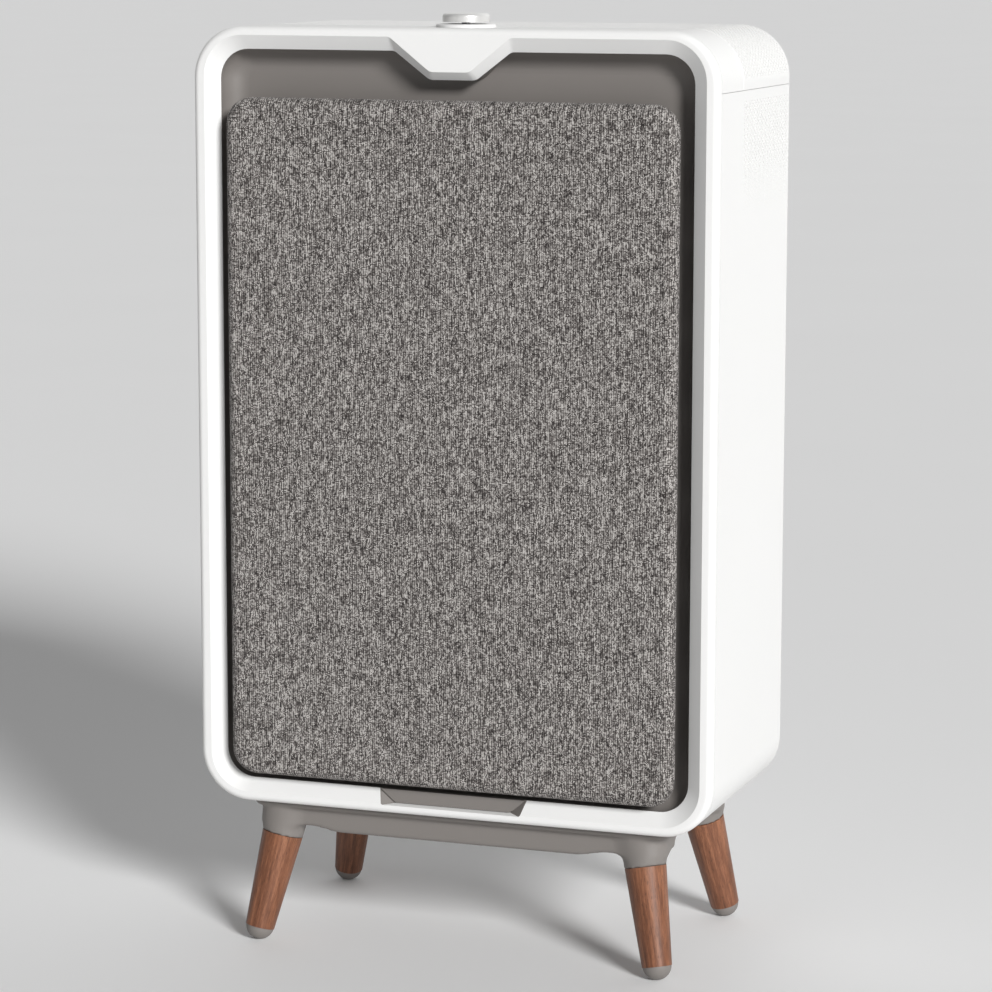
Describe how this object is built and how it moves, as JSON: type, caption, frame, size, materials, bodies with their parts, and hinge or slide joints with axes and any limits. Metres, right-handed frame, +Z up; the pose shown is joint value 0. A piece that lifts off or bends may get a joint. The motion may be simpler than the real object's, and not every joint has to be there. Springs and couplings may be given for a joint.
{
  "type": "air purifier",
  "caption": "Floor-standing air purifier: rounded white shell on splayed wooden legs, removable fabric front panel, filters and fan inside, turning press knob on top.",
  "frame": {"origin": "on the floor, under the centre of the bounding box", "axes": "front faces -Y, +Z up, +X to the right seen from the front"},
  "size_m": [0.368, 0.2096, 0.6413],
  "materials": {
    "white_plastic": "satin white moulded plastic",
    "taupe_plastic": "fine matt taupe grey",
    "inner_plastic": "matt dark grey",
    "panel_fabric": "heathered grey linen weave",
    "walnut": "oiled walnut",
    "silver": "pearl satin",
    "steel": "zinc plated",
    "magnet": "nickel plated",
    "circuit_board": "solder mask",
    "black_plastic": "matt black",
    "rubber": "matt",
    "filter_paper": "pleated paper",
    "carbon": "carbon honeycomb",
    "mesh_cloth": "fine mesh",
    "winding": "varnished copper"
  },
  "bodies": {
    "housing": {"front_bezel": "white_plastic", "top_cover": "white_plastic", "side_shell": "white_plastic", "rear_cover": "white_plastic", "knob_trim": "white_plastic", "front_tray": "taupe_plastic", "notch_plate": "taupe_plastic", "base_frame": "taupe_plastic", "handle_cup": "taupe_plastic", "front_left_foot": "taupe_plastic", "front_right_foot": "taupe_plastic", "rear_left_foot": "taupe_plastic", "rear_right_foot": "taupe_plastic", "filter_bay": "inner_plastic", "bay_grid": "inner_plastic", "fan_scroll": "inner_plastic", "inlet_ring": "inner_plastic", "electronics_case": "inner_plastic", "electronics_lid": "inner_plastic", "dust_sensor": "inner_plastic", "board_spacers": "inner_plastic", "board_posts": "inner_plastic", "front_left_leg": "walnut", "front_right_leg": "walnut", "rear_left_leg": "walnut", "rear_right_leg": "walnut", "rear_screws": "steel", "base_screws": "steel", "leg_bolts": "steel", "motor_screws": "steel", "motor_bearings": "steel", "motor_bracket": "steel", "catch_plates": "steel", "press_spring": "steel", "motor_housing": "steel", "main_board": "circuit_board", "power_board": "circuit_board", "display_board": "circuit_board", "interlock_switch": "black_plastic", "power_inlet": "black_plastic", "encoder": "black_plastic", "motor_grommets": "rubber", "motor_stator": "winding"},
    "front_panel": {"panel_fabric": "panel_fabric", "panel_frame": "inner_plastic", "panel_magnets": "magnet"},
    "prefilter": {"prefilter_frame": "inner_plastic", "prefilter_mesh": "mesh_cloth", "prefilter_tabs": "mesh_cloth"},
    "filter": {"filter_frame": "filter_paper", "carbon_layer": "carbon", "pleat_pack": "filter_paper"},
    "interlock": {"interlock_plunger": "black_plastic"},
    "fan_wheel": {"impeller": "white_plastic", "rotor_shaft": "steel", "motor_rotor": "magnet"},
    "press_shaft": {"encoder_spindle": "steel"},
    "knob": {"control_knob": "silver"}
  },
  "joints": [
    {"name": "panel_pull", "type": "slide", "parent": "housing", "child": "front_panel", "axis": [0, -1, 0], "range_m": [0, 0.3]},
    {"name": "prefilter_pull", "type": "slide", "parent": "housing", "child": "prefilter", "axis": [0, -1, 0], "range_m": [0, 0.2]},
    {"name": "filter_pull", "type": "slide", "parent": "housing", "child": "filter", "axis": [0, -1, 0], "range_m": [0, 0.1]},
    {"name": "interlock_travel", "type": "slide", "parent": "housing", "child": "interlock", "axis": [0, -1, 0], "range_m": [0, 0.003]},
    {"name": "fan_spin", "type": "hinge", "parent": "housing", "child": "fan_wheel", "pos_m": [0, 0, 0.33], "axis": [0, 1, 0], "continuous": true},
    {"name": "knob_press", "type": "slide", "parent": "housing", "child": "press_shaft", "axis": [0, 0, -1], "range_m": [0, 0.001], "stiffness_N_per_m": 1500, "springref_m": -0.001, "deforming": ["press_spring"]},
    {"name": "knob_turn", "type": "hinge", "parent": "press_shaft", "child": "knob", "pos_m": [0, -0.0638, 0.638], "axis": [0, 0, 1], "continuous": true}
  ],
  "couplings": [
    {"joint": "prefilter_pull", "follows": "panel_pull", "ratio": 0.6666},
    {"joint": "filter_pull", "follows": "panel_pull", "ratio": 0.3333},
    {"joint": "interlock_travel", "follows": "panel_pull", "ratio": 0.01}
  ]
}
